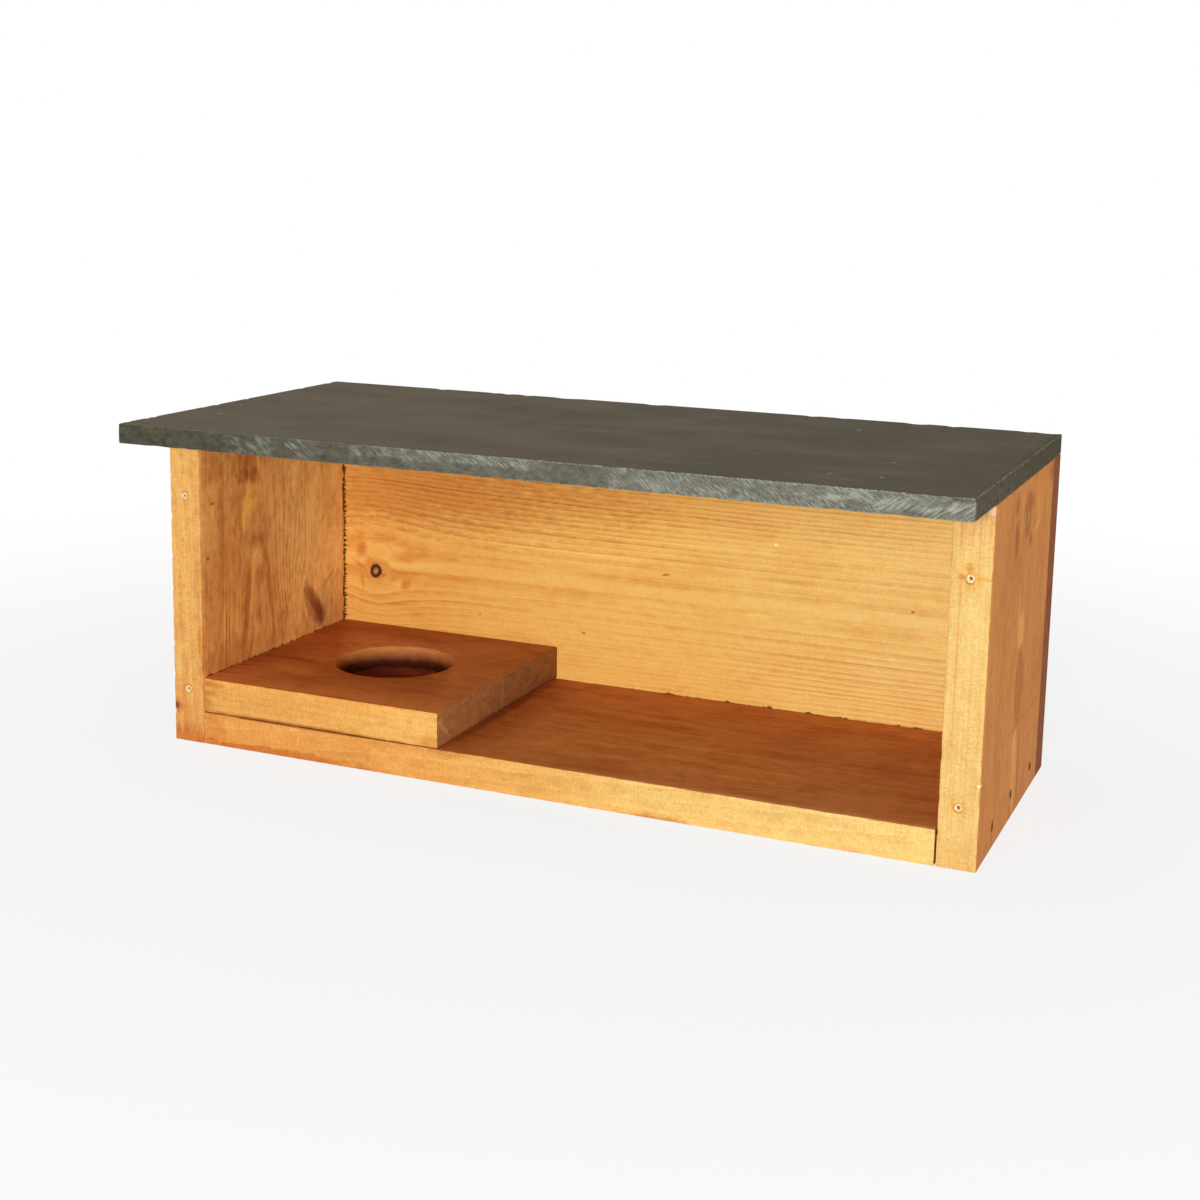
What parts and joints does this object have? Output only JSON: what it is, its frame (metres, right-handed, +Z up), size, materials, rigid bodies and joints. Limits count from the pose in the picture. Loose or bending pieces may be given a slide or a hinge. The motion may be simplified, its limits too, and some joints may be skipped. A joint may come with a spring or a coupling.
{
  "type": "swift nest box",
  "caption": "Low wooden bird box under an overhanging slate, open at the front, with a loose block whose round hole holds the nest.",
  "frame": {"origin": "on the surface that the box stands on, under the middle of its outline", "axes": "+X to the right as seen from the open front and along the box's length, +Y to the back, +Z up"},
  "size_m": [0.47, 0.2266, 0.193],
  "materials": {
    "slate": "honed top, sawn edges",
    "pale_pine": "honey stain",
    "side_pine": "honey stain",
    "floor_pine": "dark stain on the top face",
    "nest_pine": "dark stain on the top face",
    "nail_steel": "dull, stained over"
  },
  "bodies": {
    "box": {"roof_slab": "slate", "left_side": "side_pine", "right_side": "side_pine", "back_panel": "pale_pine", "floor_board": "floor_pine", "left_floor_nails": "nail_steel", "right_floor_nails": "nail_steel", "back_side_nails": "nail_steel", "back_floor_nails": "nail_steel", "roof_nails": "nail_steel"},
    "nest_block": {"nest_block": "nest_pine"}
  },
  "joints": [
    {"name": "nest_block_slide", "type": "slide", "parent": "box", "child": "nest_block", "axis": [0, -1, 0], "range_m": [0, 0.21]}
  ]
}
